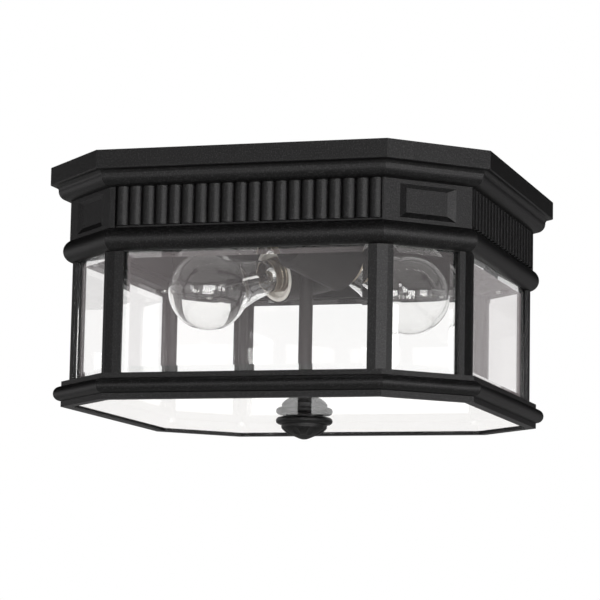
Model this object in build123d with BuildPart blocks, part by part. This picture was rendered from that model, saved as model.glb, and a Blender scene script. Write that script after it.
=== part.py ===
"""Octagonal flush-mount porch light: a cast canopy, a glazed cage and two clear lamps on staggered holders.

Millimetres. The origin is the middle of the ceiling face, +Z is up and the front looks along -Y.
"""
import math
import os

from build123d import *

os.makedirs("parts", exist_ok=True)

# Plan: a square with its corners cut off, measured on the face of the frieze
overall_width = 330.0
cap_projection = 14.2
corner_cut = 50.3

# Heights below the ceiling
fascia_height = 13.6
bead_middle = -61.5
canopy_low = -70.2
ring_top = -157.0
ring_low = -175.5

# Canopy casting
fascia_wall = 4.6
fascia_round = 1.0
cove_radius = 3.5
ovolo_projection = 8.7
ovolo_radius = 7.3
hollow_top = -10.0
hollow_low = -20.75
bead_radius = 9.05
bead_inset = 4.6
frieze_wall = 8.5
reed_radius = 5.1
reed_pitch = 9.8
reed_crest = 0.7
reed_floor = -3.2
reed_seat = 0.5
reed_low = -51.9
reed_margin = 1.6
reed_shift = 1.4
panel_width = 45.2
panel_height = 23.5
panel_floor_width = 33.0
panel_floor_height = 16.9
panel_depth = 1.8
panel_middle = -39.1
panel_floor_rise = 0.7
shoulder_top = -22.6
shoulder_inset = 3.5
flange_reach = 15.0
flange_thickness = 5.5
glazing_top = -66.0
rebate_inset = 3.8

# Lower ring casting
ring_offset = 2.9
ring_bead_radius = 5.4
ring_bead_middle = -166.0
ring_flange_low = -163.0
groove_depth = 3.4
groove_width = 3.8
mouth_inset = 4.3
ledge_inset = 7.0
ledge_low = -170.2

# Corner posts
post_offset = -1.0
post_thickness = 2.6
post_leg_long = 10.3
post_leg_short = 8.5
post_facet = 4.0
web_half = 1.5
web_lap = 0.8
boss_depth = 10.5
boss_radius = 3.4

# Glass
pane_offset = -4.0
pane_thickness = 3.2
pane_edge = 2.0
pane_end_gap = 5.2
pane_bevel = 8.5
pane_top_gap = 0.6
gasket_thickness = 1.0
bottom_glass_thickness = 3.0
bottom_glass_gap = 0.5
bottom_hole_radius = 6.0

# Fasteners, radii of shanks and heads
fit = 0.05
tie_radius = 2.0
tie_head_radius = 3.5
tie_head_height = 2.8
small_radius = 1.45
small_head_radius = 2.7
small_head_height = 1.7
clip_screw_depth = 4.5
clip_screw_inset = 11.0
clip_spread = 0.72
pan_screw_depth = 6.0
pan_screw_inset = 6.4
pan_screw_shift = 60.0
bracket_screw_length = 7.0
stud_radius = 2.08
stud_end = -32.0
stud_spacing = 150.0
stud_hole_gap = 0.3
stud_nut_across = 8.7
stud_nut_height = 3.2
cap_nut_radius = 6.0
cap_nut_cover = 2.0
cap_nut_round = 3.0
screw_end_gap = 0.5
tie_hole_rise = 2.0
box_spacing = 88.9
box_hole_radius = 2.4
box_slot_length = 14.0

# Ceiling hardware
pan_thickness = 1.5
pan_gap = 0.4
crossbar_length = 175.0
crossbar_width = 25.0
crossbar_thickness = 2.5
crossbar_round = 5.0
ground_shift = 22.0
ground_flange_radius = 5.0
ground_flange_height = 1.0
ground_head_across = 6.4
ground_head_height = 3.0
pad_thickness = 6.0
pad_inset = 10.0
pad_stud_gap = 9.0
bushing_place = (46.0, -56.0)
bushing_radius = 5.5
bushing_bore = 4.0
bushing_flange = 7.0
bushing_lip = 1.2

# Centre rod, finial and washer
rod_radius = 5.15
rod_bore = 3.3
rod_top = -14.0
rod_grip = 8.8
rod_nut_across = 14.3
rod_nut_height = 4.0
washer_radius = 14.0
washer_thickness = 1.0
finial_rim_radius = 21.1
finial_rim_height = 5.2
finial_neck_radius = 17.0
finial_neck_height = 2.6
finial_dome_height = 5.9
finial_dome_swell = 0.9
finial_button_radius = 8.2
finial_button_height = 2.6
finial_bore_gap = 1.0
finial_ribs = 8
finial_turn = 14.3
flute_top_radius = 8.0
flute_low_radius = 3.6
flute_gap = -0.2
flute_lead = 0.8

# Lamps: stations run along the lamp's axis from its foot contact to its tip
lamp_azimuth = 233.5
lamp_tilt = 16.5
rim_place_left = (-33.4, 22.9, -64.0)
rim_place_right = (37.4, -22.9, -64.0)
rim_station = 20.0
cup_radius = 22.0
cup_wall = 0.9
cup_front = 19.4
cup_back = -30.0
cup_corner = 3.0
socket_radius = 20.8
socket_mouth = 17.7
socket_mouth_floor = 15.0
socket_floor = -3.0
socket_back = -22.0
socket_back_radius = 15.0
socket_taper = 8.0
socket_round = 0.6
shell_inner = 13.2
shell_wall = 0.5
shell_top = 17.0
leaf_sheet = 0.6
leaf_reach = 9.5
leaf_bend = 5.4
leaf_flat = 3.0
leaf_slip = 0.4
leaf_half_width = 2.5
button_radius = 4.4
button_chamfer = 0.6
button_height = 1.2
foot_radius = 9.4
foot_low = 3.0
foot_top = 4.6
base_lip_radius = 10.6
base_lip = 1.8
base_crest = 13.1
base_root = 12.45
base_rim_radius = 12.9
base_wall = 0.45
base_collar = 4.25
thread_start = 4.4
thread_pitch = 3.63
thread_turns = 5
globe_radius = 30.15
globe_rise = 55.2
globe_join_angle = 40.0
glass_wall = 0.8
neck_radius = 11.6
neck_depth = 6.8
neck_seat = 0.3
neck_flare_radius = 13.3
neck_flare_rise = 4.2
neck_waist_radius = 15.4
neck_waist_rise = 14.2
neck_swell_radius = 18.4
neck_swell_rise = 24.7
stem_radius = 3.0
stem_foot = 1.0
stem_flare_radius = 5.0
stem_flare_rise = 4.5
stem_shoulder_rise = 4.2
stem_rise = 25.2
wire_radius = 0.4
lead_half_gap = 1.3
lead_half_spread = 10.5
lead_rise = 19.0
coil_half_width = 4.0
coil_rise = 24.0
coil_bend = 2.0
nipple_radius = 4.9
nipple_bore = 3.2
nipple_back = -37.0
nipple_front = -15.0
nipple_nut_across = 14.0
nipple_nut_height = 3.2
bracket_thickness = 1.5
bracket_half_width = 14.0
bracket_drop = 13.0
bracket_foot = 20.0
foot_screw_inset = 6.0
foot_screw_side = 8.0

# Derived plan sizes
root2 = math.sqrt(2.0)
mitre = math.tan(math.radians(22.5))
plan_half = overall_width / 2 - cap_projection
long_run = plan_half - corner_cut
cut_reach = (2 * plan_half - corner_cut) / root2
cut_run = corner_cut / root2
ovolo_top = -fascia_height - cove_radius
frieze_top = ovolo_top - ovolo_radius
frieze_low = bead_middle + math.sqrt(bead_radius**2 - bead_inset**2)
pan_low = shoulder_top
pan_top = pan_low + pan_thickness
pad_hole_radius = stud_spacing / 2 + pad_stud_gap
glass_top = ledge_low - gasket_thickness
glass_low = glass_top - bottom_glass_thickness
washer_low = glass_low - washer_thickness
rod_end = washer_low - rod_grip
base_inner = base_root - base_wall
thread_end = thread_start + thread_turns * thread_pitch
base_top = thread_end + base_collar
neck_foot = base_top - neck_depth
globe_station = base_top + globe_rise
face_names = ("front", "front_right", "right", "back_right", "back", "back_left", "left", "front_left")
post_names = (
    "front_right",
    "right_front",
    "right_back",
    "back_right",
    "back_left",
    "left_back",
    "left_front",
    "front_left",
)


def outline(offset):
    """Corners of the plan, moved outward from the frieze's face by offset."""
    half = plan_half + offset
    run = long_run + offset * mitre
    near = [(-run, -half), (run, -half), (half, -run), (half, run)]
    return near + [(-x, -y) for x, y in near]


def corner_point(index, offset):
    """Plan corner between face index and the next face, counted anticlockwise from the front."""
    return outline(offset)[(index + 1) % 8]


def face_plane(index, offset, height):
    """Plane lying on a face of the cage, its normal outward and its second axis up."""
    angle = math.radians(-90.0 + 45.0 * index)
    reach = (plan_half if index % 2 == 0 else cut_reach) + offset
    normal = (math.cos(angle), math.sin(angle), 0.0)
    place = (reach * normal[0], reach * normal[1], height)
    return Plane(origin=place, x_dir=(-normal[1], normal[0], 0.0), z_dir=normal)


def face_run(index, offset):
    """Half length of a face at the given offset."""
    return (long_run if index % 2 == 0 else cut_run) + offset * mitre


def corner_plane(index, height):
    """Plane at a plan corner, its second axis along the outward bisector."""
    angle = math.radians(-67.5 + 45.0 * index)
    x, y = corner_point(index, 0.0)
    return Plane(origin=(x, y, height), x_dir=(math.sin(angle), -math.cos(angle), 0.0), z_dir=(0, 0, 1))


def keep(solid, label):
    """Name a finished piece and write it out."""
    solid.label = label
    export_step(solid, "parts/" + label + ".step")


cutter_margin = 20.0
cutter_depth = 40.0


def side_block(draw, reach, run):
    """One side of a moulded ring, facing the front, cut to its mitres."""
    with BuildPart() as block:
        with BuildSketch(Plane(origin=(0, 0, 0), x_dir=(0, -1, 0), z_dir=(-1, 0, 0))):
            with BuildLine():
                draw(reach)
            make_face()
        extrude(amount=run + cutter_margin, both=True)
        with BuildSketch(Plane.XY):
            Polygon(
                (-run - cutter_margin * mitre, -reach - cutter_margin),
                (run + cutter_margin * mitre, -reach - cutter_margin),
                (run - cutter_depth * mitre, -reach + cutter_depth),
                (-run + cutter_depth * mitre, -reach + cutter_depth),
                align=None,
            )
        extrude(amount=ring_low - cutter_margin, mode=Mode.INTERSECT)
    return block.part


def draw_canopy(reach):
    """Section of the canopy: fascia, cove, ovolo, frieze, bead, glazing flange and pan shoulder."""
    bead_centre = reach - bead_inset
    rim = bead_centre + math.sqrt(bead_radius**2 - (canopy_low - bead_middle) ** 2)
    fascia = reach + cap_projection
    diagonal = fascia_round * (1 - 1 / root2)
    inner = fascia - fascia_wall
    flange_top = glazing_top + flange_thickness
    wall = reach - frieze_wall
    Line((inner, 0.0), (fascia, 0.0))
    Line((fascia, 0.0), (fascia, -fascia_height + fascia_round))
    ThreePointArc(
        (fascia, -fascia_height + fascia_round),
        (fascia - diagonal, -fascia_height + diagonal),
        (fascia - fascia_round, -fascia_height),
    )
    ovolo = reach + ovolo_projection
    cove = ovolo + cove_radius
    swell = ovolo_radius * (1 - 1 / root2)
    Line((fascia - fascia_round, -fascia_height), (cove, -fascia_height))
    ThreePointArc(
        (cove, -fascia_height),
        (cove - cove_radius / root2, ovolo_top + cove_radius / root2),
        (ovolo, ovolo_top),
    )
    ThreePointArc(
        (ovolo, ovolo_top),
        (ovolo - swell, frieze_top + swell),
        (ovolo - ovolo_radius, frieze_top),
    )
    Line((ovolo - ovolo_radius, frieze_top), (reach, frieze_top))
    Line((reach, frieze_top), (reach, frieze_low))
    ThreePointArc((reach, frieze_low), (bead_centre + bead_radius, bead_middle), (rim, canopy_low))
    Line((rim, canopy_low), (reach - rebate_inset, canopy_low))
    Line((reach - rebate_inset, canopy_low), (reach - rebate_inset, glazing_top))
    Line((reach - rebate_inset, glazing_top), (reach - flange_reach, glazing_top))
    Line((reach - flange_reach, glazing_top), (reach - flange_reach, flange_top))
    Line((reach - flange_reach, flange_top), (wall, flange_top + flange_reach - frieze_wall))
    Line((wall, flange_top + flange_reach - frieze_wall), (wall, shoulder_top))
    Line((wall, shoulder_top), (reach - shoulder_inset, shoulder_top))
    Line((reach - shoulder_inset, shoulder_top), (reach - shoulder_inset, hollow_low))
    Line((reach - shoulder_inset, hollow_low), (inner, hollow_top))
    Line((inner, hollow_top), (inner, 0.0))


def draw_ring(reach):
    """Section of the lower ring: step, bead, fillet, mouth, glass ledge, flange and glazing groove."""
    outer = reach + ring_offset
    groove_out = reach - rebate_inset
    groove_in = groove_out - groove_width
    Line((outer, ring_top), (outer, ring_bead_middle + ring_bead_radius))
    ThreePointArc(
        (outer, ring_bead_middle + ring_bead_radius),
        (outer + ring_bead_radius, ring_bead_middle),
        (outer, ring_bead_middle - ring_bead_radius),
    )
    Polyline(
        (outer, ring_bead_middle - ring_bead_radius),
        (outer, ring_low),
        (reach - mouth_inset, ring_low),
        (reach - mouth_inset, ledge_low),
        (reach - ledge_inset, ledge_low),
        (reach - ledge_inset, ring_flange_low),
        (reach - flange_reach, ring_flange_low),
        (reach - flange_reach, ring_top),
        (groove_in, ring_top),
        (groove_in, ring_top - groove_depth),
        (groove_out, ring_top - groove_depth),
        (groove_out, ring_top),
        (outer, ring_top),
    )


# Long side of the canopy: its reeds stand in a sunk field between two narrow margins, just clear of the bead
canopy_side = side_block(draw_canopy, plan_half, long_run)
reed_count = int(2 * (long_run - reed_margin) / reed_pitch)
with BuildPart() as reeded_side:
    add(canopy_side)
    with BuildSketch(Plane.XY.offset(frieze_low)):
        with Locations((reed_shift, -plan_half + (reed_crest - reed_floor) / 2 - reed_crest)):
            Rectangle(reed_count * reed_pitch, reed_crest - reed_floor)
    extrude(amount=frieze_top - frieze_low, mode=Mode.SUBTRACT)
    with BuildSketch(Plane.XY.offset(reed_low)):
        with Locations((reed_shift, -plan_half + reed_radius - reed_crest)):
            with GridLocations(reed_pitch, 1.0, reed_count, 1):
                Circle(reed_radius)
        with Locations((0.0, -plan_half - reed_floor - reed_radius + reed_seat)):
            Rectangle(2 * long_run, 2 * reed_radius, mode=Mode.INTERSECT)
    extrude(amount=frieze_top - reed_low)

# Cut-corner side of the canopy: one sunk panel with sloping borders
canopy_cut = side_block(draw_canopy, cut_reach, cut_run)
with BuildPart() as panelled_side:
    add(canopy_cut)
    with BuildSketch(Plane(origin=(0, -cut_reach, panel_middle), x_dir=(1, 0, 0), z_dir=(0, -1, 0))):
        Rectangle(panel_width, panel_height)
    floor_place = (0, -cut_reach + panel_depth, panel_middle + panel_floor_rise)
    with BuildSketch(Plane(origin=floor_place, x_dir=(1, 0, 0), z_dir=(0, -1, 0))):
        Rectangle(panel_floor_width, panel_floor_height)
    loft(mode=Mode.SUBTRACT)

tie_places = [corner_point(index, -boss_depth) for index in range(8)]
clip_faces = []
for index in range(8):
    shifts = (-clip_spread, clip_spread) if index % 2 == 0 else (0.0,)
    for shift in shifts:
        clip_faces.append((index, shift * face_run(index, 0.0)))
clip_screw_places = []
for index, shift in clip_faces:
    spot = face_plane(index, -clip_screw_inset, 0.0).from_local_coords((shift, 0.0, 0.0))
    clip_screw_places.append((spot.X, spot.Y))
pan_screw_places = []
for index in (0, 2, 4, 6):
    for shift in (-pan_screw_shift, pan_screw_shift):
        spot = face_plane(index, -pan_screw_inset, 0.0).from_local_coords((shift, 0.0, 0.0))
        pan_screw_places.append((spot.X, spot.Y))

# Canopy: eight mitred sides in one casting, drilled for the ties, clips and pan
with BuildPart() as canopy:
    for quarter in range(4):
        add(reeded_side.part.rotate(Axis.Z, 90.0 * quarter))
        add(panelled_side.part.rotate(Axis.Z, 90.0 * quarter + 45.0))
    with BuildSketch(Plane.XY.offset(glazing_top)):
        with Locations(*tie_places):
            Circle(tie_radius + fit)
    extrude(amount=flange_thickness + tie_hole_rise, mode=Mode.SUBTRACT)
    with BuildSketch(Plane.XY.offset(glazing_top)):
        with Locations(*clip_screw_places):
            Circle(small_radius + fit)
    extrude(amount=clip_screw_depth, mode=Mode.SUBTRACT)
    with BuildSketch(Plane.XY.offset(shoulder_top)):
        with Locations(*pan_screw_places):
            Circle(small_radius + fit)
    extrude(amount=-pan_screw_depth, mode=Mode.SUBTRACT)
keep(canopy.part, "canopy")

# Lower ring: eight mitred sides in one casting, drilled for the ties
ring_side = side_block(draw_ring, plan_half, long_run)
ring_cut = side_block(draw_ring, cut_reach, cut_run)
with BuildPart() as lower_ring:
    for quarter in range(4):
        add(ring_side.rotate(Axis.Z, 90.0 * quarter))
        add(ring_cut.rotate(Axis.Z, 90.0 * quarter + 45.0))
    with BuildSketch(Plane.XY.offset(ring_flange_low)):
        with Locations(*tie_places):
            Circle(tie_radius + 2 * fit)
    extrude(amount=ring_top - ring_flange_low, mode=Mode.SUBTRACT)
keep(lower_ring.part, "lower_ring")

# Corner posts: bent angle with a flat nose, its longer leg on the long face, a web and a hollow boss
lean = math.radians(22.5)
along_leg = (math.cos(lean), -math.sin(lean))
out_leg = (math.sin(lean), math.cos(lean))
nose = post_offset / math.cos(lean)
heel = (post_offset - post_thickness) / math.cos(lean)
boss_place = -boss_depth / math.cos(lean)
facet_point = (post_facet * along_leg[0], nose + post_facet * along_leg[1])


def leg_end(leg, side):
    """Outer and inner corner at the tip of a post's leg, on either side of the nose."""
    x, y = leg * along_leg[0], nose + leg * along_leg[1]
    return (side * x, y), (side * (x - post_thickness * out_leg[0]), y - post_thickness * out_leg[1])


for index in range(8):
    legs = (post_leg_long, post_leg_short) if index % 2 == 0 else (post_leg_short, post_leg_long)
    near_tip, near_back = leg_end(legs[0], 1)
    far_tip, far_back = leg_end(legs[1], -1)
    with BuildPart() as post:
        with BuildSketch(corner_plane(index, ring_top)):
            Polygon(
                facet_point,
                near_tip,
                near_back,
                (0.0, heel),
                far_back,
                far_tip,
                (-facet_point[0], facet_point[1]),
                align=None,
            )
        extrude(amount=canopy_low - ring_top)
        with BuildSketch(corner_plane(index, ring_top)):
            with Locations((0.0, boss_place)):
                Circle(boss_radius)
            with Locations((0.0, (heel + web_lap + boss_place) / 2)):
                Rectangle(2 * web_half, heel + web_lap - boss_place)
            with Locations((0.0, boss_place)):
                Circle(tie_radius + 2 * fit, mode=Mode.SUBTRACT)
        extrude(amount=canopy_low - ring_top)
        with BuildSketch(corner_plane(index, canopy_low)):
            with Locations((0.0, boss_place)):
                Circle(boss_radius)
                Circle(tie_radius + 2 * fit, mode=Mode.SUBTRACT)
        extrude(amount=glazing_top - canopy_low)
    keep(post.part, "post_" + post_names[index])

# Tie screws: up through the ring and the hollow posts into the canopy's flange
with BuildPart() as tie_screws:
    with BuildSketch(Plane.XY.offset(ring_flange_low - tie_head_height)):
        with Locations(*tie_places):
            Circle(tie_head_radius)
    extrude(amount=tie_head_height)
    with BuildSketch(Plane.XY.offset(ring_flange_low)):
        with Locations(*tie_places):
            Circle(tie_radius)
    extrude(amount=glazing_top + flange_thickness - ring_flange_low)
keep(tie_screws.part, "tie_screws")

# Side panes: clear plate glass, ground to a wide bevel on the outer face
pane_low = ring_top - groove_depth
pane_high = glazing_top - pane_top_gap
pane_height = pane_high - pane_low
for index in range(8):
    half = face_run(index, pane_offset) - pane_end_gap
    back = face_plane(index, pane_offset - pane_thickness, (pane_low + pane_high) / 2)
    with BuildPart() as pane:
        with BuildSketch(back):
            Rectangle(2 * half, pane_height)
        extrude(amount=pane_edge)
        with BuildSketch(back.offset(pane_edge)):
            Rectangle(2 * half, pane_height)
        with BuildSketch(back.offset(pane_thickness)):
            Rectangle(2 * (half - pane_bevel), pane_height - 2 * pane_bevel)
        loft()
    keep(pane.part, "pane_" + face_names[index])

# Pane clips: small bent springs under the canopy's flange, each leg against a pane's back
clip_width = 9.0
clip_sheet = 0.6
clip_leg = 3.4
clip_foot = 6.4
clip_cut = 2.0
pane_back = -pane_offset + pane_thickness
with BuildPart() as pane_clips:
    for index, shift in clip_faces:
        spot = face_plane(index, 0.0, glazing_top)
        with BuildSketch(spot):
            with Locations((shift, -clip_leg / 2)):
                Rectangle(clip_width, clip_leg)
        extrude(until=None, amount=-pane_back - clip_sheet)
        with BuildSketch(spot):
            with Locations((shift, -clip_leg / 2)):
                Rectangle(clip_width + clip_cut, clip_leg + clip_cut)
        extrude(amount=-pane_back, mode=Mode.SUBTRACT)
        with BuildSketch(spot.offset(-pane_back)):
            with Locations((shift, -clip_sheet / 2)):
                Rectangle(clip_width, clip_sheet)
        extrude(amount=-clip_foot)
    with BuildSketch(Plane.XY.offset(glazing_top)):
        with Locations(*clip_screw_places):
            Circle(small_radius + fit)
    extrude(amount=-clip_sheet, mode=Mode.SUBTRACT)
keep(pane_clips.part, "pane_clips")

with BuildPart() as clip_screws:
    with BuildSketch(Plane.XY.offset(glazing_top - clip_sheet - small_head_height)):
        with Locations(*clip_screw_places):
            Circle(small_head_radius)
    extrude(amount=small_head_height)
    with BuildSketch(Plane.XY.offset(glazing_top - clip_sheet)):
        with Locations(*clip_screw_places):
            Circle(small_radius)
    extrude(amount=clip_screw_depth)
keep(clip_screws.part, "clip_screws")

# Bottom glass on its gasket, drilled for the rod
with BuildPart() as bottom_gasket:
    with BuildSketch(Plane.XY.offset(glass_top)):
        Polygon(*outline(-mouth_inset - bottom_glass_gap / 2), align=None)
        Polygon(*outline(-ledge_inset), align=None, mode=Mode.SUBTRACT)
    extrude(amount=gasket_thickness)
keep(bottom_gasket.part, "bottom_gasket")

with BuildPart() as bottom_glass:
    with BuildSketch(Plane.XY.offset(glass_low)):
        Polygon(*outline(-mouth_inset - bottom_glass_gap), align=None)
        Circle(bottom_hole_radius, mode=Mode.SUBTRACT)
    extrude(amount=bottom_glass_thickness)
keep(bottom_glass.part, "bottom_glass")

with BuildPart() as finial_washer:
    with BuildSketch(Plane.XY.offset(washer_low)):
        Circle(washer_radius)
        Circle(rod_radius + 4 * fit, mode=Mode.SUBTRACT)
    extrude(amount=washer_thickness)
keep(finial_washer.part, "finial_washer")

# Finial: rounded rim, short neck and a dome with ribs left between eight flutes, drilled for the rod
rim_low = washer_low - finial_rim_height
rim_round = finial_rim_height / 2
neck_low = rim_low - finial_neck_height
button_top = neck_low - finial_dome_height
finial_tip = button_top - finial_button_height
bore_end = rod_end - finial_bore_gap
dome_start = Vector(finial_neck_radius, neck_low)
dome_end = Vector(finial_button_radius, button_top)
dome_slope = (dome_end - dome_start).normalized()
dome_normal = Vector(-dome_slope.Y, dome_slope.X)
dome_middle = (dome_start + dome_end) * 0.5 + dome_normal * finial_dome_swell
flute_start = dome_start - dome_slope * flute_lead + dome_normal * (flute_top_radius + flute_gap)
flute_end = dome_end + dome_slope * flute_lead + dome_normal * (flute_low_radius + flute_gap)
flute_run = flute_end - flute_start
with BuildPart() as flutes:
    for rib in range(finial_ribs):
        turn = math.radians(finial_turn + 360.0 * (rib + 0.5) / finial_ribs)
        outward = Vector(math.cos(turn), math.sin(turn), 0.0)
        upper = outward * flute_start.X + Vector(0, 0, flute_start.Y)
        slope = outward * flute_run.X + Vector(0, 0, flute_run.Y)
        flute_plane = Plane(origin=upper, x_dir=(-outward.Y, outward.X, 0), z_dir=slope)
        with BuildSketch(flute_plane):
            Circle(flute_top_radius)
        with BuildSketch(flute_plane.offset(flute_run.length)):
            Circle(flute_low_radius)
        loft()
with BuildPart() as finial:
    with BuildSketch(Plane.XZ):
        with BuildLine():
            Line((rod_radius + fit, washer_low), (finial_rim_radius - rim_round, washer_low))
            ThreePointArc(
                (finial_rim_radius - rim_round, washer_low),
                (finial_rim_radius, washer_low - rim_round),
                (finial_rim_radius - rim_round, rim_low),
            )
            Line((finial_rim_radius - rim_round, rim_low), (finial_neck_radius, rim_low))
            Line((finial_neck_radius, rim_low), dome_start)
            ThreePointArc(dome_start, dome_middle, dome_end)
            Spline(
                dome_end,
                (0.55 * finial_button_radius, finial_tip + 0.4 * finial_button_height),
                (0.0, finial_tip),
                tangents=((-0.9, -0.35), (-1.0, 0.0)),
            )
            Line((0.0, finial_tip), (0.0, bore_end))
            Line((0.0, bore_end), (rod_radius + fit, bore_end))
            Line((rod_radius + fit, bore_end), (rod_radius + fit, washer_low))
        make_face()
    revolve(axis=Axis.Z)
    add(flutes.part, mode=Mode.SUBTRACT)
keep(finial.part, "finial")

# Centre rod and its two nuts on the pan
with BuildPart() as centre_rod:
    with BuildSketch(Plane.XY.offset(rod_end)):
        Circle(rod_radius)
        Circle(rod_bore, mode=Mode.SUBTRACT)
    extrude(amount=rod_top - rod_end)
keep(centre_rod.part, "centre_rod")

with BuildPart() as rod_nuts:
    for level in (pan_top, pan_low - rod_nut_height):
        with BuildSketch(Plane.XY.offset(level)):
            RegularPolygon(rod_nut_across / 2, 6, major_radius=False)
            Circle(rod_radius + fit, mode=Mode.SUBTRACT)
        extrude(amount=rod_nut_height)
keep(rod_nuts.part, "rod_nuts")


def lamp_axis(turn):
    """Direction from a lamp's foot to its tip; the right lamp points the other way."""
    angle = math.radians(lamp_azimuth + turn)
    tilt = math.radians(lamp_tilt)
    return (math.cos(tilt) * math.cos(angle), math.cos(tilt) * math.sin(angle), -math.sin(tilt))


def lamp_point(turn, station):
    """Point on a lamp's axis at a station from its foot contact."""
    axis = lamp_axis(turn)
    shift = station - rim_station
    x, y, z = rim_place_left if turn == 0 else rim_place_right
    return (x + shift * axis[0], y + shift * axis[1], z + shift * axis[2])


def lamp_across(turn):
    """Level direction square to a lamp's axis."""
    angle = math.radians(lamp_azimuth + turn)
    return (-math.sin(angle), math.cos(angle), 0.0)


def lamp_section(turn):
    """Plane through a lamp's axis: radius along its first axis, station along its second."""
    across = Vector(*lamp_across(turn))
    axis = Vector(*lamp_axis(turn))
    return Plane(origin=lamp_point(turn, 0.0), x_dir=across, z_dir=across.cross(axis))


def lamp_cross(turn, station):
    """Plane square to a lamp's axis at a station."""
    return Plane(origin=lamp_point(turn, station), x_dir=lamp_across(turn), z_dir=lamp_axis(turn))


def lamp_upright(turn):
    """Upright plane through a lamp's axis: level run along its first axis, height along its second."""
    angle = math.radians(lamp_azimuth + turn)
    x, y, _ = lamp_point(turn, 0.0)
    return Plane(
        origin=(x, y, 0.0),
        x_dir=(math.cos(angle), math.sin(angle), 0.0),
        z_dir=(math.sin(angle), -math.cos(angle), 0.0),
    )


def upright_point(turn, station, rise):
    """Level run and height of a point beside a lamp's axis, rise measured square to the axis."""
    tilt = math.radians(lamp_tilt)
    foot = lamp_point(turn, 0.0)[2]
    return (
        station * math.cos(tilt) + rise * math.sin(tilt),
        foot - station * math.sin(tilt) + rise * math.cos(tilt),
    )


bracket_front = cup_back
bracket_rear = cup_back - bracket_thickness


def bracket_points(turn):
    """Bent strip in the upright plane: tab behind the holder, bend at the pan and foot under the pan."""
    tilt = math.radians(lamp_tilt)
    front_rise = (pan_low - upright_point(turn, bracket_front, 0.0)[1]) / math.cos(tilt)
    foot_low_face = pan_low - bracket_thickness
    rear_rise = (foot_low_face - upright_point(turn, bracket_rear, 0.0)[1]) / math.cos(tilt)
    bend = upright_point(turn, bracket_rear, rear_rise)
    return (
        upright_point(turn, bracket_front, -bracket_drop),
        upright_point(turn, bracket_front, front_rise),
        (bend[0] - bracket_foot, pan_low),
        (bend[0] - bracket_foot, foot_low_face),
        bend,
        upright_point(turn, bracket_rear, -bracket_drop),
    )


bracket_screw_places = []
for turn in (0.0, 180.0):
    foot_end = bracket_points(turn)[2][0]
    for side in (-foot_screw_side, foot_screw_side):
        spot = lamp_upright(turn).from_local_coords((foot_end + foot_screw_inset, 0.0, side))
        bracket_screw_places.append((spot.X, spot.Y))

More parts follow.
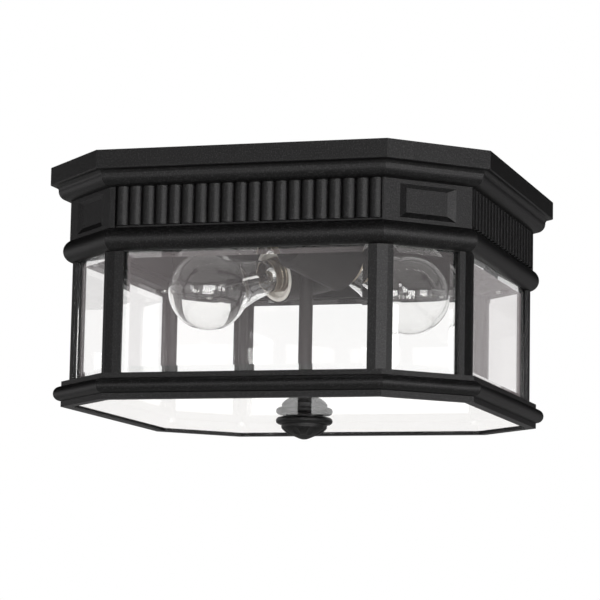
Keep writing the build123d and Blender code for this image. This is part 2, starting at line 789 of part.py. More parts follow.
# Lampholders, lamps and brackets, left and right
for side, turn in (("left", 0.0), ("right", 180.0)):
    section = lamp_section(turn)
    spin = Axis(lamp_point(turn, 0.0), lamp_axis(turn))

    # Bracket: bent strip, foot under the pan and tab behind the holder
    with BuildPart() as bracket:
        with BuildSketch(lamp_upright(turn)):
            Polygon(*bracket_points(turn), align=None)
        extrude(amount=bracket_half_width, both=True)
        with BuildSketch(lamp_cross(turn, bracket_rear - 1.0)):
            Circle(nipple_radius + fit)
        extrude(amount=bracket_thickness + 2.0, mode=Mode.SUBTRACT)
        with BuildSketch(Plane.XY.offset(pan_low)):
            with Locations(*bracket_screw_places):
                Circle(small_radius + fit)
        extrude(amount=-bracket_thickness, mode=Mode.SUBTRACT)
    keep(bracket.part, "bracket_" + side)

    # Holder cup: drawn steel, open to the front
    with BuildPart() as cup:
        with BuildSketch(section):
            with BuildLine():
                Polyline(
                    (nipple_radius + fit, cup_back),
                    (cup_radius - cup_corner, cup_back),
                    (cup_radius, cup_back + cup_corner),
                    (cup_radius, cup_front),
                    (cup_radius - cup_wall, cup_front),
                    (cup_radius - cup_wall, cup_back + cup_corner + cup_wall * mitre),
                    (cup_radius - cup_corner - cup_wall * mitre, cup_back + cup_wall),
                    (nipple_radius + fit, cup_back + cup_wall),
                    close=True,
                )
            make_face()
        revolve(axis=spin)
    keep(cup.part, "holder_cup_" + side)

    # Socket: glazed porcelain body with a raised white lip
    with BuildPart() as socket:
        with BuildSketch(section):
            with BuildLine():
                Polyline(
                    (nipple_radius + fit, socket_back),
                    (socket_back_radius, socket_back),
                    (socket_radius, socket_back + socket_taper),
                    (socket_radius, rim_station - socket_round),
                    (socket_radius - socket_round, rim_station),
                    (socket_mouth + socket_round, rim_station),
                    (socket_mouth, rim_station - socket_round),
                    (socket_mouth, socket_mouth_floor),
                    (shell_inner + shell_wall + fit, socket_mouth_floor),
                    (shell_inner + shell_wall + fit, socket_floor),
                    (0.0, socket_floor),
                    (0.0, nipple_front),
                    (nipple_radius + fit, nipple_front),
                    close=True,
                )
            make_face()
        revolve(axis=spin)
    keep(socket.part, "socket_" + side)

    # Screw shell: pressed brass tube inside the porcelain
    with BuildPart() as shell:
        with BuildSketch(section):
            with Locations((shell_inner + shell_wall / 2, (socket_floor + shell_top) / 2)):
                Rectangle(shell_wall, shell_top - socket_floor)
        revolve(axis=spin)
    keep(shell.part, "socket_shell_" + side)

    # Foot contact: sprung brass leaf on the socket's floor
    with BuildPart() as leaf:
        with BuildSketch(section):
            Polygon(
                (leaf_reach, socket_floor),
                (leaf_reach, socket_floor + leaf_sheet),
                (leaf_bend, socket_floor + leaf_sheet),
                (leaf_flat, -fit),
                (-leaf_flat, -fit),
                (-leaf_flat, -fit - leaf_sheet),
                (leaf_flat - leaf_slip, -fit - leaf_sheet),
                (leaf_bend - leaf_slip, socket_floor),
                align=None,
            )
        extrude(amount=leaf_half_width, both=True)
    keep(leaf.part, "socket_contact_" + side)

    # Lamp foot: solder button on black glass
    with BuildPart() as button:
        with BuildSketch(section):
            with BuildLine():
                Polyline(
                    (0.0, 0.0),
                    (button_radius - button_chamfer, 0.0),
                    (button_radius, button_chamfer),
                    (button_radius, button_height),
                    (foot_radius, foot_low),
                    (foot_radius, foot_top),
                    (0.0, foot_top),
                    close=True,
                )
            make_face()
        revolve(axis=spin)
    keep(button.part, "lamp_foot_" + side)

    # Lamp base: rolled screw shell
    with BuildPart() as base:
        with BuildSketch(section):
            with BuildLine():
                Line((base_lip_radius, base_lip), (base_root, thread_start))
                for ring in range(thread_turns):
                    level = thread_start + ring * thread_pitch
                    crest_end = (base_root, level + 0.6 * thread_pitch)
                    ThreePointArc((base_root, level), (base_crest, level + 0.3 * thread_pitch), crest_end)
                    Line(crest_end, (base_root, level + thread_pitch))
                Polyline(
                    (base_root, thread_end),
                    (base_rim_radius, base_top),
                    (base_rim_radius - base_wall, base_top),
                    (base_inner, thread_end),
                    (base_inner, thread_start + base_wall),
                    (base_lip_radius - base_wall, base_lip + base_wall),
                    (base_lip_radius, base_lip),
                )
            make_face()
        revolve(axis=spin)
    keep(base.part, "lamp_base_" + side)

    # Lamp glass: clear blown bulb, globe and flared neck
    inner_radius = globe_radius - glass_wall
    swell = math.radians(globe_join_angle)
    join_outer = (globe_radius * math.cos(swell), globe_station - globe_radius * math.sin(swell))
    join_inner = (inner_radius * math.cos(swell), globe_station - inner_radius * math.sin(swell))
    run_in = (math.sin(swell), math.cos(swell))
    seat = base_top - neck_seat
    with BuildPart() as bulb:
        with BuildSketch(section):
            with BuildLine():
                Line((neck_radius, neck_foot), (neck_radius, seat))
                Spline(
                    (neck_radius, seat),
                    (neck_flare_radius, base_top + neck_flare_rise),
                    (neck_waist_radius, base_top + neck_waist_rise),
                    (neck_swell_radius, base_top + neck_swell_rise),
                    join_outer,
                    tangents=((0.25, 1.0), run_in),
                )
                ThreePointArc(join_outer, (globe_radius, globe_station), (0.0, globe_station + globe_radius))
                Line((0.0, globe_station + globe_radius), (0.0, globe_station + inner_radius))
                ThreePointArc((0.0, globe_station + inner_radius), (inner_radius, globe_station), join_inner)
                Spline(
                    join_inner,
                    (neck_swell_radius - glass_wall, base_top + neck_swell_rise),
                    (neck_waist_radius - glass_wall, base_top + neck_waist_rise),
                    (neck_flare_radius - glass_wall, base_top + neck_flare_rise),
                    (neck_radius - glass_wall, seat),
                    tangents=((-run_in[0], -run_in[1]), (-0.25, -1.0)),
                )
                Line((neck_radius - glass_wall, seat), (neck_radius - glass_wall, neck_foot))
                Line((neck_radius - glass_wall, neck_foot), (neck_radius, neck_foot))
            make_face()
        revolve(axis=spin)
    keep(bulb.part, "lamp_glass_" + side)

    # Stem: glass mount inside the lamp, flared to the neck
    flange = neck_radius - glass_wall - fit
    shoulder = base_top + stem_shoulder_rise
    stem_top = base_top + stem_rise
    stem_round = stem_top - stem_radius
    with BuildPart() as stem:
        with BuildSketch(section):
            with BuildLine():
                Line((0.0, neck_foot), (flange, neck_foot))
                Line((flange, neck_foot), (flange, neck_foot + stem_foot))
                ThreePointArc(
                    (flange, neck_foot + stem_foot),
                    (stem_flare_radius, neck_foot + stem_flare_rise),
                    (stem_radius, shoulder),
                )
                Line((stem_radius, shoulder), (stem_radius, stem_round))
                ThreePointArc(
                    (stem_radius, stem_round),
                    (stem_radius / root2, stem_round + stem_radius / root2),
                    (0.0, stem_top),
                )
                Line((0.0, stem_top), (0.0, neck_foot))
            make_face()
        revolve(axis=spin)
    keep(stem.part, "lamp_stem_" + side)

    # Filament: lead wires from the stem and the coil's arch between them
    with BuildPart() as filament:
        with BuildLine(section):
            route = FilletPolyline(
                (-lead_half_gap, stem_top),
                (-lead_half_spread, stem_top + lead_rise),
                (-coil_half_width, stem_top + coil_rise),
                (coil_half_width, stem_top + coil_rise),
                (lead_half_spread, stem_top + lead_rise),
                (lead_half_gap, stem_top),
                radius=coil_bend,
            )
        with BuildSketch(Plane(origin=route @ 0, z_dir=route % 0)):
            Circle(wire_radius)
        sweep()
    keep(filament.part, "lamp_filament_" + side)

# Threaded nipples and their nuts: each clamps a cup to its bracket and carries the porcelain
with BuildPart() as holder_nipples:
    for turn in (0.0, 180.0):
        with BuildSketch(lamp_cross(turn, nipple_back)):
            Circle(nipple_radius)
            Circle(nipple_bore, mode=Mode.SUBTRACT)
        extrude(amount=nipple_front - nipple_back)
keep(holder_nipples.part, "holder_nipples")

with BuildPart() as holder_nuts:
    for turn in (0.0, 180.0):
        for station in (bracket_rear - nipple_nut_height, cup_back + cup_wall):
            with BuildSketch(lamp_cross(turn, station)):
                RegularPolygon(nipple_nut_across / 2, 6, major_radius=False)
                Circle(nipple_radius + fit, mode=Mode.SUBTRACT)
            extrude(amount=nipple_nut_height)
keep(holder_nuts.part, "holder_nuts")

# Ceiling pan: flat steel plate on the canopy's shoulder, with its holes
bushing_places = [bushing_place, (-bushing_place[0], -bushing_place[1])]
stud_places = [(-stud_spacing / 2, 0.0), (stud_spacing / 2, 0.0)]
with BuildPart() as pan:
    with BuildSketch(Plane.XY.offset(pan_low)):
        Polygon(*outline(-shoulder_inset - pan_gap), align=None)
        Circle(rod_radius + fit, mode=Mode.SUBTRACT)
        with Locations(*stud_places):
            Circle(stud_radius + stud_hole_gap, mode=Mode.SUBTRACT)
        with Locations(*bushing_places):
            Circle(bushing_radius + fit, mode=Mode.SUBTRACT)
        with Locations(*(bracket_screw_places + pan_screw_places)):
            Circle(small_radius + fit, mode=Mode.SUBTRACT)
    extrude(amount=pan_thickness)
keep(pan.part, "pan")

with BuildPart() as pan_screws:
    with BuildSketch(Plane.XY.offset(pan_top)):
        with Locations(*pan_screw_places):
            Circle(small_head_radius)
    extrude(amount=small_head_height)
    with BuildSketch(Plane.XY.offset(pan_top)):
        with Locations(*pan_screw_places):
            Circle(small_radius)
    extrude(amount=-pan_thickness - pan_screw_depth + screw_end_gap)
keep(pan_screws.part, "pan_screws")

with BuildPart() as bracket_screws:
    with BuildSketch(Plane.XY.offset(pan_low - bracket_thickness - small_head_height)):
        with Locations(*bracket_screw_places):
            Circle(small_head_radius)
    extrude(amount=small_head_height)
    with BuildSketch(Plane.XY.offset(pan_low - bracket_thickness)):
        with Locations(*bracket_screw_places):
            Circle(small_radius)
    extrude(amount=bracket_screw_length)
keep(bracket_screws.part, "bracket_screws")

# Wire bushings: moulded grommets that line the pan's two wire holes
with BuildPart() as wire_bushings:
    for level, height, radius in (
        (pan_low - bushing_lip, bushing_lip, bushing_flange),
        (pan_low, pan_thickness, bushing_radius),
        (pan_top, bushing_lip, bushing_flange),
    ):
        with BuildSketch(Plane.XY.offset(level)):
            with Locations(*bushing_places):
                Circle(radius)
                Circle(bushing_bore, mode=Mode.SUBTRACT)
        extrude(amount=height)
keep(wire_bushings.part, "wire_bushings")

# Insulation pad: glass-fibre mat on the pan, open round the wiring
with BuildPart() as insulation_pad:
    with BuildSketch(Plane.XY.offset(pan_top)):
        Polygon(*outline(-pad_inset), align=None)
        Circle(pad_hole_radius, mode=Mode.SUBTRACT)
    extrude(amount=pad_thickness)
keep(insulation_pad.part, "insulation_pad")

# Crossbar: steel strap against the ceiling, slotted for the outlet box and drilled for the studs
ground_place = (ground_shift, 0.0)
with BuildPart() as crossbar:
    with BuildSketch(Plane.XY.offset(-crossbar_thickness)):
        RectangleRounded(crossbar_length, crossbar_width, crossbar_round)
        Circle(rod_radius + stud_hole_gap, mode=Mode.SUBTRACT)
        with Locations((-box_spacing / 2, 0.0), (box_spacing / 2, 0.0)):
            SlotOverall(box_slot_length, 2 * box_hole_radius, mode=Mode.SUBTRACT)
        with Locations(*stud_places):
            Circle(stud_radius + fit, mode=Mode.SUBTRACT)
        with Locations(ground_place):
            Circle(stud_radius + fit, mode=Mode.SUBTRACT)
    extrude(amount=crossbar_thickness)
keep(crossbar.part, "crossbar")

with BuildPart() as ground_screw:
    with BuildSketch(Plane.XY.offset(-crossbar_thickness)):
        with Locations(ground_place):
            Circle(ground_flange_radius)
    extrude(amount=-ground_flange_height)
    with BuildSketch(Plane.XY.offset(-crossbar_thickness - ground_flange_height)):
        with Locations(ground_place):
            RegularPolygon(ground_head_across / 2, 6, major_radius=False)
    extrude(amount=-ground_head_height)
    with BuildSketch(Plane.XY.offset(-crossbar_thickness)):
        with Locations(ground_place):
            Circle(stud_radius)
    extrude(amount=crossbar_thickness)
keep(ground_screw.part, "ground_screw")

# Canopy studs hang from the crossbar; cap nuts under the pan draw the light up to the ceiling
with BuildPart() as canopy_studs:
    with BuildSketch(Plane.XY.offset(stud_end)):
        with Locations(*stud_places):
            Circle(stud_radius)
    extrude(amount=-stud_end)
keep(canopy_studs.part, "canopy_studs")

with BuildPart() as stud_nuts:
    with BuildSketch(Plane.XY.offset(-crossbar_thickness)):
        with Locations(*stud_places):
            RegularPolygon(stud_nut_across / 2, 6, major_radius=False)
            Circle(stud_radius + fit, mode=Mode.SUBTRACT)
    extrude(amount=-stud_nut_height)
keep(stud_nuts.part, "stud_nuts")

cap_nut_low = stud_end - cap_nut_cover
with BuildPart() as cap_nuts:
    with BuildSketch(Plane.XY.offset(cap_nut_low)):
        with Locations(*stud_places):
            Circle(cap_nut_radius)
    extrude(amount=pan_low - cap_nut_low)
    fillet(cap_nuts.edges().group_by(Axis.Z)[0], cap_nut_round)
    with BuildSketch(Plane.XY.offset(stud_end - screw_end_gap)):
        with Locations(*stud_places):
            Circle(stud_radius + fit)
    extrude(amount=pan_low - stud_end + screw_end_gap, mode=Mode.SUBTRACT)
keep(cap_nuts.part, "cap_nuts")
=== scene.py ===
import math

import bpy
from mathutils import Matrix, Vector

# Looks of an octagonal flush-mount porch light: black castings, bevelled glass and clear lamps.
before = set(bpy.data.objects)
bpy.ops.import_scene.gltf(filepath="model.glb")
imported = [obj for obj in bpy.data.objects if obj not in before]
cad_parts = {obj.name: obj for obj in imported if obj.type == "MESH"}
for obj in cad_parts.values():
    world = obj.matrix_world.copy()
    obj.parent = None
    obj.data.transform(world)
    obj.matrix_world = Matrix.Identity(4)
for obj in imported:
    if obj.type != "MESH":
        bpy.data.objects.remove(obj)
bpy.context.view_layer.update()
bpy.ops.object.select_all(action="DESELECT")


# Castings: canopy, posts, lower ring, finial and its washer are cast aluminium under a black powder coat.
# The coat has a fine sandy texture in its bumps and gloss. The small pale specks in its colour are painted
# glints of that texture, scattered at random over every face.
# The posts stand between canopy and ring, and long screws inside them pull all three together.
def dress(material, *names):
    """Put one finish on CAD pieces in place of the plain colour they came with."""
    for name in names:
        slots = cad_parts[name].data.materials
        slots.clear()
        slots.append(material)


def new_finish(name):
    """A new finish: its material, node tree and main shader."""
    material = bpy.data.materials.new(name)
    material.use_nodes = True
    tree = material.node_tree
    return material, tree, tree.nodes["Principled BSDF"]


def grain(tree, scale, detail):
    """Noise on the piece's own coordinates, scale in cycles per metre."""
    place = tree.nodes.new("ShaderNodeTexCoord")
    noise = tree.nodes.new("ShaderNodeTexNoise")
    noise.inputs["Scale"].default_value = scale
    noise.inputs["Detail"].default_value = detail
    tree.links.new(place.outputs["Object"], noise.inputs["Vector"])
    return noise.outputs["Fac"]


def two_tones(tree, shader, value, dark, pale, low=0.3, high=0.7):
    """Colour that runs from dark to pale as the noise goes from low to high."""
    ramp = tree.nodes.new("ShaderNodeValToRGB")
    ramp.color_ramp.elements[0].position = low
    ramp.color_ramp.elements[0].color = (*dark, 1.0)
    ramp.color_ramp.elements[1].position = high
    ramp.color_ramp.elements[1].color = (*pale, 1.0)
    tree.links.new(value, ramp.inputs["Fac"])
    tree.links.new(ramp.outputs["Color"], shader.inputs["Base Color"])


def uneven_gloss(tree, shader, value, least, most):
    """Roughness that wanders between two limits with the noise."""
    limits = tree.nodes.new("ShaderNodeMapRange")
    limits.inputs["To Min"].default_value = least
    limits.inputs["To Max"].default_value = most
    tree.links.new(value, limits.inputs["Value"])
    tree.links.new(limits.outputs["Result"], shader.inputs["Roughness"])


def relief(tree, shader, value, depth, strength):
    """Fine bumps, depth in metres."""
    bump = tree.nodes.new("ShaderNodeBump")
    bump.inputs["Strength"].default_value = strength
    bump.inputs["Distance"].default_value = depth
    tree.links.new(value, bump.inputs["Height"])
    tree.links.new(bump.outputs["Normal"], shader.inputs["Normal"])


powder_coat, tree, shader = new_finish("black_powder_coat")
shader.inputs["Specular IOR Level"].default_value = 0.25
sand_and_glints = grain(tree, scale=1000.0, detail=2.0)
# Colour: near-black, with pale specks that are painted glints of the sandy coat.
two_tones(tree, shader, sand_and_glints, dark=(0.002, 0.0019, 0.002), pale=(0.022, 0.0215, 0.022), low=0.5, high=0.72)
uneven_gloss(tree, shader, sand_and_glints, least=0.38, most=0.5)
relief(tree, shader, sand_and_glints, depth=0.0004, strength=0.45)
post_names = [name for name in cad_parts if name.startswith("post_")]
dress(powder_coat, "canopy", "lower_ring", "finial", "finial_washer", *post_names)


# Inside metal: pan, centre rod, brackets and holder cups are pressed steel in thin black enamel.
# The pan is screwed to the canopy's shoulder, and the rod and brackets hang from the pan.
def both(stem):
    """Names of the left and the right piece of a pair."""
    return stem + "_left", stem + "_right"


enamel, tree, shader = new_finish("black_enamel")
shader.inputs["Specular IOR Level"].default_value = 0.2
ripple = grain(tree, scale=160.0, detail=1.0)
two_tones(tree, shader, ripple, dark=(0.009, 0.0075, 0.0075), pale=(0.014, 0.0115, 0.0115))
uneven_gloss(tree, shader, ripple, least=0.5, most=0.65)
dress(enamel, "pan", "centre_rod", *both("bracket"), *both("holder_cup"))

# Hardware: crossbar, studs, nuts, nipples and screws are mild steel with a bright zinc plating.
# They fix the canopy to the outlet box, the pan to the canopy and the holders to their brackets.
zinc, tree, shader = new_finish("zinc_steel")
shader.inputs["Metallic"].default_value = 1.0
bloom = grain(tree, scale=420.0, detail=5.0)
two_tones(tree, shader, bloom, dark=(0.47, 0.47, 0.46), pale=(0.66, 0.67, 0.66), low=0.35, high=0.68)
uneven_gloss(tree, shader, bloom, least=0.28, most=0.46)
dress(zinc, "crossbar", "canopy_studs", "stud_nuts", "cap_nuts", "rod_nuts", "tie_screws")
dress(zinc, "pan_screws", "bracket_screws", "clip_screws", "holder_nipples", "holder_nuts")

# Ground screw: a hexagon-head steel screw in the green paint that marks the earth connection.
# It is screwed into the crossbar, above the pan.
green_paint, tree, shader = new_finish("green_steel")
shader.inputs["Specular IOR Level"].default_value = 0.5
coat = grain(tree, scale=500.0, detail=3.0)
two_tones(tree, shader, coat, dark=(0.02, 0.16, 0.05), pale=(0.035, 0.23, 0.08))
uneven_gloss(tree, shader, coat, least=0.3, most=0.42)
dress(green_paint, "ground_screw")

# Insulation pad: a mat of yellow-white glass fibre, cut to fit inside the canopy.
# It lies loose on the pan under the ceiling.
fibre_mat, tree, shader = new_finish("glass_fibre")
shader.inputs["Specular IOR Level"].default_value = 0.2
strands = grain(tree, scale=260.0, detail=8.0)
two_tones(tree, shader, strands, dark=(0.5, 0.43, 0.26), pale=(0.78, 0.73, 0.58))
uneven_gloss(tree, shader, strands, least=0.8, most=0.95)
relief(tree, shader, strands, depth=0.0015, strength=0.8)
dress(fibre_mat, "insulation_pad")

# Gasket and wire bushings: the gasket is a strip of black rubber under the ring's ledge.
# The bushings are moulded plastic grommets pressed into the pan.
rubber, tree, shader = new_finish("gasket_rubber")
shader.inputs["Specular IOR Level"].default_value = 0.25
dust = grain(tree, scale=600.0, detail=3.0)
two_tones(tree, shader, dust, dark=(0.008, 0.008, 0.008), pale=(0.016, 0.016, 0.016))
uneven_gloss(tree, shader, dust, least=0.65, most=0.8)
dress(rubber, "bottom_gasket")
nylon, tree, shader = new_finish("bushing_plastic")
flow = grain(tree, scale=350.0, detail=2.0)
two_tones(tree, shader, flow, dark=(0.012, 0.012, 0.012), pale=(0.024, 0.024, 0.024))
uneven_gloss(tree, shader, flow, least=0.4, most=0.55)
dress(nylon, "wire_bushings")


# Panes: clear plate glass, eight upright lights ground to a wide bevel and one flat floor.
# The upright ones stand in the ring's groove and are clipped under the canopy's flange;
# the floor lies under the ring's ledge and is held up by the finial.
def choose(tree, factor, first, second):
    """First look where the factor is 0, second look where it is 1."""
    mix = tree.nodes.new("ShaderNodeMixShader")
    tree.links.new(factor, mix.inputs["Fac"])
    tree.links.new(first, mix.inputs[1])
    tree.links.new(second, mix.inputs[2])
    return mix.outputs["Shader"]


def clear_glass(name, tint, index):
    """Polished glass that lets the light of the studio through to what stands behind it."""
    material, tree, shader = new_finish(name)
    shader.inputs["Base Color"].default_value = (*tint, 1.0)
    shader.inputs["Roughness"].default_value = 0.0
    shader.inputs["IOR"].default_value = index
    shader.inputs["Transmission Weight"].default_value = 1.0
    through = tree.nodes.new("ShaderNodeBsdfTransparent")
    through.inputs["Color"].default_value = (*tint, 1.0)
    path = tree.nodes.new("ShaderNodeLightPath")
    look = choose(tree, path.outputs["Is Shadow Ray"], shader.outputs["BSDF"], through.outputs["BSDF"])
    tree.links.new(look, tree.nodes["Material Output"].inputs["Surface"])
    return material


flat_sides = ("front", "right", "back", "left")
cut_corners = ("front_right", "back_right", "back_left", "front_left")
pane_glass = clear_glass("bevelled_glass", tint=(0.994, 0.994, 0.99), index=1.5)
dress(pane_glass, *["pane_" + side for side in flat_sides + cut_corners])
floor_glass = clear_glass("plate_glass", tint=(0.994, 0.994, 0.99), index=1.5)
dress(floor_glass, "bottom_glass")

# Pane clips: small bent springs of blackened steel that press on the backs of the panes.
# They sit under the canopy's flange, with one screw each.
spring_steel, tree, shader = new_finish("spring_steel")
shader.inputs["Metallic"].default_value = 1.0
scale = grain(tree, scale=700.0, detail=3.0)
two_tones(tree, shader, scale, dark=(0.03, 0.03, 0.032), pale=(0.07, 0.07, 0.075))
uneven_gloss(tree, shader, scale, least=0.4, most=0.55)
dress(spring_steel, "pane_clips")

# Lampholders: glazed white porcelain bodies in the dark cups, of which only the lips show.
# A brass screw shell lines each body, and a brass leaf on its floor meets the lamp's foot.
porcelain, tree, shader = new_finish("porcelain")
shader.inputs["Specular IOR Level"].default_value = 0.6
glaze = grain(tree, scale=90.0, detail=3.0)
two_tones(tree, shader, glaze, dark=(0.72, 0.69, 0.63), pale=(0.8, 0.78, 0.73))
uneven_gloss(tree, shader, glaze, least=0.1, most=0.2)
dress(porcelain, *both("socket"))
brass, tree, shader = new_finish("brass")
shader.inputs["Metallic"].default_value = 1.0
brass_mottle_in_shade = grain(tree, scale=240.0, detail=5.0)
# The brass is drawn far darker than bare brass: partly a dull, greyish plating, and partly painted shade
# inside the holders.
two_tones(tree, shader, brass_mottle_in_shade, dark=(0.24, 0.2, 0.16), pale=(0.38, 0.33, 0.26))
uneven_gloss(tree, shader, brass_mottle_in_shade, least=0.22, most=0.38)
dress(brass, *both("socket_shell"), *both("socket_contact"))

# Lamps: clear blown glass on a rolled brass screw base, with a glass stem and a fine filament.
# They screw into the two lampholders, staggered and pointing opposite ways.
bulb_glass = clear_glass("lamp_glass", tint=(0.99, 0.99, 0.985), index=1.46)
dress(bulb_glass, *both("lamp_glass"))
stem_glass = clear_glass("stem_glass", tint=(0.98, 0.98, 0.97), index=1.5)
dress(stem_glass, *both("lamp_stem"))
dress(brass, *both("lamp_base"))
solder, tree, shader = new_finish("solder")
shader.inputs["Metallic"].default_value = 1.0
flux = grain(tree, scale=800.0, detail=3.0)
two_tones(tree, shader, flux, dark=(0.4, 0.4, 0.4), pale=(0.58, 0.58, 0.57))
uneven_gloss(tree, shader, flux, least=0.35, most=0.5)
dress(solder, *both("lamp_foot"))
tungsten, tree, shader = new_finish("tungsten")
shader.inputs["Metallic"].default_value = 1.0
drawn = grain(tree, scale=1500.0, detail=2.0)
two_tones(tree, shader, drawn, dark=(0.16, 0.16, 0.17), pale=(0.28, 0.28, 0.29))
uneven_gloss(tree, shader, drawn, least=0.3, most=0.45)
dress(tungsten, *both("lamp_filament"))


# Floor: a wide sheet of pale paper laid flat far below the light, outside the photograph's frame.
# It shows its own colour to the camera and through glass, and a little of it in gloss.
# The rest of its look is paper under the lamps, so that it keeps some of the object's shadow.
def together(tree, operation, first, second):
    """A sum, a product or the larger of two values, the second of which may be a plain number."""
    node = tree.nodes.new("ShaderNodeMath")
    node.operation = operation
    tree.links.new(first, node.inputs[0])
    if isinstance(second, float):
        node.inputs[1].default_value = second
    else:
        tree.links.new(second, node.inputs[1])
    return node.outputs["Value"]


floor_depth = 3.0
floor_size = 12.0
share_in_view = 0.8
share_in_gloss = 0.3
bpy.ops.mesh.primitive_plane_add(size=floor_size, location=(0.0, 0.0, -floor_depth))
floor = bpy.context.object
floor.name = "studio_floor"
paper, tree, shader = new_finish("floor_paper")
pulp = grain(tree, scale=30.0, detail=3.0)
two_tones(tree, shader, pulp, dark=(0.78, 0.78, 0.77), pale=(0.82, 0.82, 0.81))
uneven_gloss(tree, shader, pulp, least=0.8, most=0.9)
path = tree.nodes.new("ShaderNodeLightPath")
in_view = together(tree, "MAXIMUM", path.outputs["Is Camera Ray"], path.outputs["Is Transmission Ray"])
in_view = together(tree, "MULTIPLY", in_view, share_in_view)
in_gloss = together(tree, "MULTIPLY", path.outputs["Is Glossy Ray"], share_in_gloss)
own_colour = tree.nodes.new("ShaderNodeEmission")
own_colour.inputs["Color"].default_value = (0.93, 0.93, 0.925, 1.0)
share = together(tree, "MAXIMUM", in_view, in_gloss)
look = choose(tree, share, shader.outputs["BSDF"], own_colour.outputs["Emission"])
tree.links.new(look, tree.nodes["Material Output"].inputs["Surface"])
floor.data.materials.append(paper)

# World: a white studio. The camera sees it plain white, and so it shows through glass.
# Glass mirrors its lit left, right and front sides, and paint mirrors a band along the horizon,
# brightest at the right. As a source of light the room is dim.
world = bpy.data.worlds.new("studio_world")
bpy.context.scene.world = world
world.use_nodes = True
tree = world.node_tree
tree.nodes.clear()
way = tree.nodes.new("ShaderNodeTexCoord").outputs["Generated"]
parts = tree.nodes.new("ShaderNodeSeparateXYZ")
tree.links.new(way, parts.inputs["Vector"])
height = parts.outputs["Z"]


def towards(azimuth, elevation=0.0):
    """Cosine between the way looked and a bearing in degrees, with the front at -90."""
    turn, lift = math.radians(azimuth), math.radians(elevation)
    node = tree.nodes.new("ShaderNodeVectorMath")
    node.operation = "DOT_PRODUCT"
    node.inputs[1].default_value = (
        math.cos(lift) * math.cos(turn),
        math.cos(lift) * math.sin(turn),
        math.sin(lift),
    )
    tree.links.new(way, node.inputs[0])
    return node.outputs["Value"]


def rise(value, start, end, low, high):
    """Smooth change from low to high as the value goes from start to end."""
    node = tree.nodes.new("ShaderNodeMapRange")
    node.interpolation_type = "SMOOTHSTEP"
    node.inputs["From Min"].default_value = start
    node.inputs["From Max"].default_value = end
    node.inputs["To Min"].default_value = low
    node.inputs["To Max"].default_value = high
    tree.links.new(value, node.inputs["Value"])
    return node.outputs["Result"]


def total(*values):
    """Sum of several values."""
    result = values[0]
    for value in values[1:]:
        result = together(tree, "ADD", result, value)
    return result


def room(color, strength):
    """One look of the room, with a strength that is a number or a node's value."""
    look = tree.nodes.new("ShaderNodeBackground")
    look.inputs["Color"].default_value = (*color, 1.0)
    if isinstance(strength, float):
        look.inputs["Strength"].default_value = strength
    else:
        tree.links.new(strength, look.inputs["Strength"])
    return look.outputs["Background"]


left_light = rise(towards(-135.0, 17.0), start=0.872, end=0.92, low=0.0, high=2.3)
right_light = rise(towards(-15.0), start=0.7, end=0.97, low=0.0, high=1.0)
left_wall = rise(towards(-170.0), start=-0.2, end=0.9, low=0.1, high=0.5)
behind = rise(towards(90.0), start=0.2, end=0.9, low=0.0, high=0.35)
front_top = rise(height, start=0.11, end=0.155, low=0.85, high=0.0)
front_width = rise(towards(-100.0), start=0.5, end=0.9, low=0.0, high=1.0)
front_wall = together(tree, "MULTIPLY", front_top, front_width)
mirrored = total(left_light, right_light, left_wall, behind, front_wall)
sides_in_glass = room(color=(1.0, 0.87, 0.885), strength=mirrored)
ground_in_glass = room(color=(1.0, 0.985, 0.97), strength=1.3)
below = rise(height, start=-0.07, end=-0.02, low=1.0, high=0.0)
glass_look = choose(tree, below, sides_in_glass, ground_in_glass)

left_sheen = rise(towards(-150.0), start=0.2, end=1.0, low=0.08, high=1.35)
right_sheen = rise(towards(-40.0), start=0.5, end=1.0, low=0.0, high=4.7)
front_sheen = rise(towards(-110.0), start=0.6, end=1.0, low=0.0, high=0.6)
back_sheen = rise(towards(108.0), start=0.55, end=1.0, low=0.0, high=0.36)
sheen = total(left_sheen, right_sheen, front_sheen, back_sheen)
band_top = rise(height, start=-0.03, end=0.22, low=1.0, high=0.02)
band_foot = rise(height, start=-0.45, end=-0.1, low=0.03, high=1.0)
band = together(tree, "MULTIPLY", band_top, band_foot)
paint_look = room(color=(1.0, 0.98, 0.99), strength=together(tree, "MULTIPLY", band, sheen))

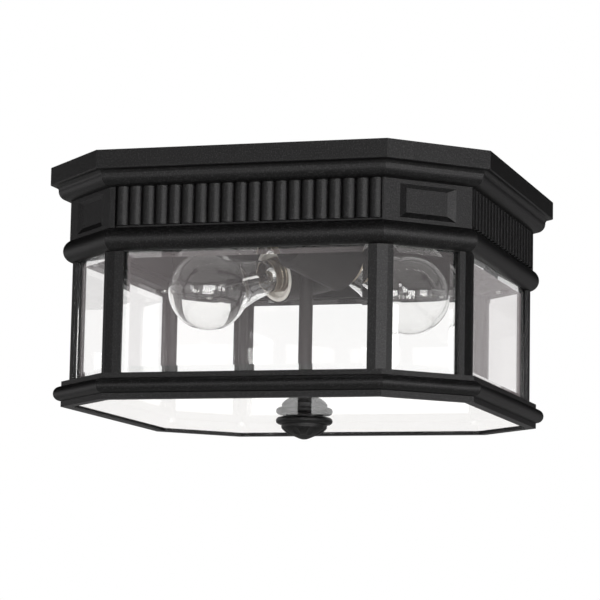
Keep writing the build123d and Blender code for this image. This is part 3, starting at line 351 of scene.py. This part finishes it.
path = tree.nodes.new("ShaderNodeLightPath")
dim_room = room(color=(1.0, 0.99, 0.985), strength=0.2)
through_glass = room(color=(1.0, 1.0, 1.0), strength=1.03)
plain_white = room(color=(1.0, 1.0, 1.0), strength=1.0)
look = choose(tree, path.outputs["Is Glossy Ray"], dim_room, paint_look)
look = choose(tree, path.outputs["Is Singular Ray"], look, glass_look)
look = choose(tree, path.outputs["Is Transmission Ray"], look, through_glass)
look = choose(tree, path.outputs["Is Camera Ray"], look, plain_white)
output = tree.nodes.new("ShaderNodeOutputWorld")
tree.links.new(look, output.inputs["Surface"])


# Lights: four soft boxes, turned to the middle of the lantern. The key stands at the right, a wider fill
# beside the camera, a weak one at the left, and one hangs overhead.
def soft_box(name, place, width, height, power):
    """A rectangular soft box at a place, turned to the middle of the lantern."""
    data = bpy.data.lights.new(name, "AREA")
    data.shape = "RECTANGLE"
    data.size = width
    data.size_y = height
    data.energy = power
    box = bpy.data.objects.new(name, data)
    bpy.context.scene.collection.objects.link(box)
    box.location = place
    box.rotation_mode = "QUATERNION"
    box.rotation_quaternion = (lantern_middle - Vector(place)).to_track_quat("-Z", "Y")


lantern_middle = Vector((0.0, 0.0, -0.09))
soft_box("key_box", place=(2.2, -1.5, -0.12), width=1.0, height=0.7, power=16.0)
soft_box("fill_box", place=(0.89, -2.44, -0.12), width=1.6, height=0.7, power=33.0)
soft_box("left_box", place=(-1.22, -2.3, -0.2), width=0.7, height=0.6, power=5.0)
soft_box("top_box", place=(0.0, 0.0, 1.6), width=0.8, height=0.8, power=13.0)

# Camera: looks up at the light from below its right front, as the photograph does.
# Its place, turn and lens were fitted to the corners of the mouldings.
eye = Vector((0.5781, -1.8736, -0.3555))
yaw = math.radians(17.291)
pitch = math.radians(7.799)
roll = math.radians(1.11)
level = Vector((math.cos(yaw), math.sin(yaw), 0.0))
ahead = Vector((-math.sin(yaw) * math.cos(pitch), math.cos(yaw) * math.cos(pitch), math.sin(pitch)))
above = level.cross(ahead)
right = math.cos(roll) * level + math.sin(roll) * above
top = math.cos(roll) * above - math.sin(roll) * level
camera_data = bpy.data.cameras.new("photo_camera")
camera_data.lens = 158.65
camera_data.sensor_width = 36.0
camera_data.clip_start = 0.05
camera_data.clip_end = 50.0
camera = bpy.data.objects.new("photo_camera", camera_data)
bpy.context.scene.collection.objects.link(camera)
turn = Matrix((right, top, -ahead)).transposed()
camera.matrix_world = Matrix.Translation(eye) @ turn.to_4x4()
bpy.context.scene.camera = camera
bpy.context.scene.view_settings.view_transform = "Standard"
